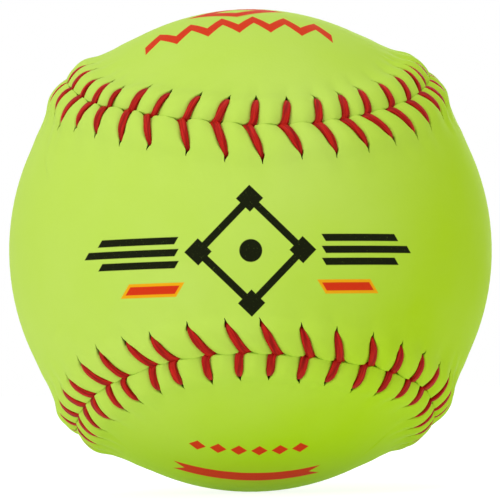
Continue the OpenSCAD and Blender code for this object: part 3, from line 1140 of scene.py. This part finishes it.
def cover_material():
    """Satin synthetic leather with a fine grain, painted sheen, painted shade in the holes, and
    the print on its front.
    """
    g = Graph(bpy.data.materials.new("cover"))
    place = g.node("ShaderNodeSeparateXYZ")
    g.put(place.inputs[0], g.place())
    x, y, z = (g.math("DIVIDE", place.outputs[k], MM) for k in range(3))
    toward = g.math("MULTIPLY", y, -1.0)
    climb = g.math("MULTIPLY", g.math("ARCTAN2", z, toward), BALL_R)
    x, z = g.math("SUBTRACT", x, PRINT_X), g.math("SUBTRACT", z, PRINT_Z)
    x_abs = g.math("ABSOLUTE", x)

    # Painted sheen: the cover turns paler toward the key lamp
    base = g.mix(sheen_and_mottle(g), srgb(*COVER_AWAY_FROM_SHEEN), srgb(*COVER_PAINTED_SHEEN))
    front = g.math("GREATER_THAN", toward, 0.0)
    worn = g.spread(g.noise(WEAR_SCALE, 2), *WEAR_RANGE, *INK_LEFT)
    base = g.mix(both(g, front, black_print(g, x_abs, z), worn), base, srgb(*BLACK_INK))
    # Painted shade down the walls of the holes, darker the deeper they go
    depth = g.attribute("depth", "Fac")
    base = g.mix(g.spread(depth, *HOLE_SHADE_DEPTHS), base, srgb(*HOLE_PAINTED_SHADE))
    amber = dash_print(g, x_abs, z, DASH_BORDER)
    base = g.mix(both(g, front, amber, worn), base, srgb(*AMBER_INK))
    red = red_print(g, x, x_abs, z, climb)
    base = g.mix(both(g, front, red, worn), base, srgb(*RED_INK))

    cells = g.node("ShaderNodeTexVoronoi", feature="F1")
    g.put(cells.inputs["Vector"], g.place())
    cells.inputs["Scale"].default_value = CELL_SCALE
    coarse = g.bump(cells.outputs["Distance"], CELL_DEPTH, CELL_STRENGTH)
    fine = g.bump(g.noise(GRAIN_SCALE, 3), GRAIN_DEPTH, GRAIN_STRENGTH, coarse)
    return g.surfaced(base, fine, COVER_ROUGHNESS, COVER_GLOSS)


def thread_material():
    """Waxed three-ply thread: fine fibres along it, and painted shade in the clefts between
    plies.
    """
    g = Graph(bpy.data.materials.new("thread"))
    drawn = g.node("ShaderNodeVectorMath", operation="MULTIPLY")
    g.put(drawn.inputs[0], g.attribute("lay", "Vector"))
    drawn.inputs[1].default_value = FIBRE_STRETCH
    fibres = g.noise(1.0, 3, FIBRE_ROUGHNESS, drawn.outputs[0])
    base = g.mix(g.spread(fibres, *FIBRE_RANGE), srgb(*THREAD_DEEP), srgb(*THREAD_PALE))
    # Painted shade in the clefts between plies
    cleft = g.math("MULTIPLY", g.attribute("cleft", "Fac"), CLEFT_SHADE_SHARE)
    base = g.mix(cleft, base, srgb(*THREAD_CLEFT_SHADE))
    fuzz = g.bump(fibres, FIBRE_DEPTH, FIBRE_STRENGTH)
    return g.surfaced(base, fuzz, THREAD_ROUGHNESS, THREAD_GLOSS)


def inner_material(name, dark, light, scale, roughness):
    """Speckled or streaky stuff of a layer that lies inside the ball."""
    g = Graph(bpy.data.materials.new(name))
    tone = g.spread(g.noise(scale, 4), *INNER_RANGE)
    rough = g.bump(g.noise(scale * 2, 3), INNER_DEPTH, INNER_STRENGTH)
    return g.surfaced(g.mix(tone, srgb(*dark), srgb(*light)), rough, roughness)


def dress_inner_layers():
    for node, look in INNER_LOOKS.items():
        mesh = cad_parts[node].data
        mesh.materials.clear()
        mesh.materials.append(inner_material(*look))


def background_ray(g):
    """1 for the rays that show the background: seen, mirrored or looked through to."""
    path = g.node("ShaderNodeLightPath").outputs
    return either(g, path["Is Camera Ray"], path["Is Glossy Ray"], path["Is Transmission Ray"])


def glowing(g, white, glow):
    """Dull surface that also gives off a little light."""
    dull = g.node("ShaderNodeBsdfDiffuse")
    dull.inputs["Color"].default_value = (white, white, white, 1)
    light = g.node("ShaderNodeEmission")
    light.inputs["Strength"].default_value = glow
    total = g.node("ShaderNodeAddShader")
    g.put(total.inputs[0], dull.outputs[0])
    g.put(total.inputs[1], light.outputs[0])
    return total.outputs[0]


def floor_material():
    """White to the camera, with the ball's soft shadow still on it. It is lit from below,
    as a table for such photographs is, and so brightens the underside of the ball."""
    g = Graph(bpy.data.materials.new("floor"))
    g.tree.nodes.remove(g.tree.nodes["Principled BSDF"])
    choice = g.node("ShaderNodeMixShader")
    g.put(choice.inputs[0], background_ray(g))
    g.put(choice.inputs[1], glowing(g, *FLOOR_LIT))
    g.put(choice.inputs[2], glowing(g, *FLOOR_SEEN))
    g.put(g.tree.nodes["Material Output"].inputs["Surface"], choice.outputs[0])
    return g.owner


def add_floor():
    half, low = FLOOR_HALF, -BALL_R * MM
    corners = [(-half, -half, low), (half, -half, low), (half, half, low), (-half, half, low)]
    mesh = bpy.data.meshes.new("floor")
    mesh.from_pydata(corners, [], [(0, 1, 2, 3)])
    mesh.materials.append(floor_material())
    floor = bpy.data.objects.new("floor", mesh)
    bpy.context.scene.collection.objects.link(floor)


def add_world():
    """Even white light, and plain white where the camera looks past the ball."""
    world = bpy.data.worlds.new("world")
    bpy.context.scene.world = world
    g = Graph(world)
    sky = g.tree.nodes["Background"]
    g.put(sky.inputs["Strength"], g.spread(background_ray(g), 0.0, 1.0, WORLD_LIGHT, 1.0))
    sky.inputs["Color"].default_value = (1, 1, 1, 1)


def add_camera():
    data = bpy.data.cameras.new("camera")
    data.sensor_fit = "HORIZONTAL"
    data.angle = 2 * math.atan(PICTURE_PX / 2 / FOCAL_PX)
    data.shift_x = (PICTURE_PX / 2 - MIDDLE_PX[0]) / PICTURE_PX
    data.shift_y = (MIDDLE_PX[1] - PICTURE_PX / 2) / PICTURE_PX
    data.clip_start = CLIP_START
    pose = camera_turn().to_4x4()
    pose.translation = pose.to_3x3() @ Vector((0, 0, CAMERA_RADII * BALL_R * MM))
    camera = bpy.data.objects.new("camera", data)
    camera.matrix_world = pose
    bpy.context.scene.collection.objects.link(camera)
    bpy.context.scene.camera = camera


def add_lamp(name, place, size, power):
    data = bpy.data.lights.new(name, "AREA")
    data.shape = "DISK"
    data.size = size
    data.energy = power
    lamp = bpy.data.objects.new(name, data)
    lamp.location = place
    lamp.rotation_euler = (-Vector(place)).to_track_quat("-Z", "Y").to_euler()
    bpy.context.scene.collection.objects.link(lamp)


def main():
    add_camera()
    cover, thread = cover_material(), thread_material()
    for side, word in ((FRONT, "front"), (BACK, "back")):
        name = f"cover_{word}_sewn"
        add_piece(name, panel_mesh(side, name), f"cover_panel_{word}", cover)
    for side, word in ((FRONT, "first"), (BACK, "second")):
        name = f"thread_{word}_laced"
        add_piece(name, thread_mesh(side, name), f"seam_thread_{word}", thread)
    dress_inner_layers()
    add_floor()
    add_world()
    for name, lamp in LAMPS.items():
        add_lamp(name, *lamp)
    bpy.context.scene.view_settings.view_transform = "Standard"


main()
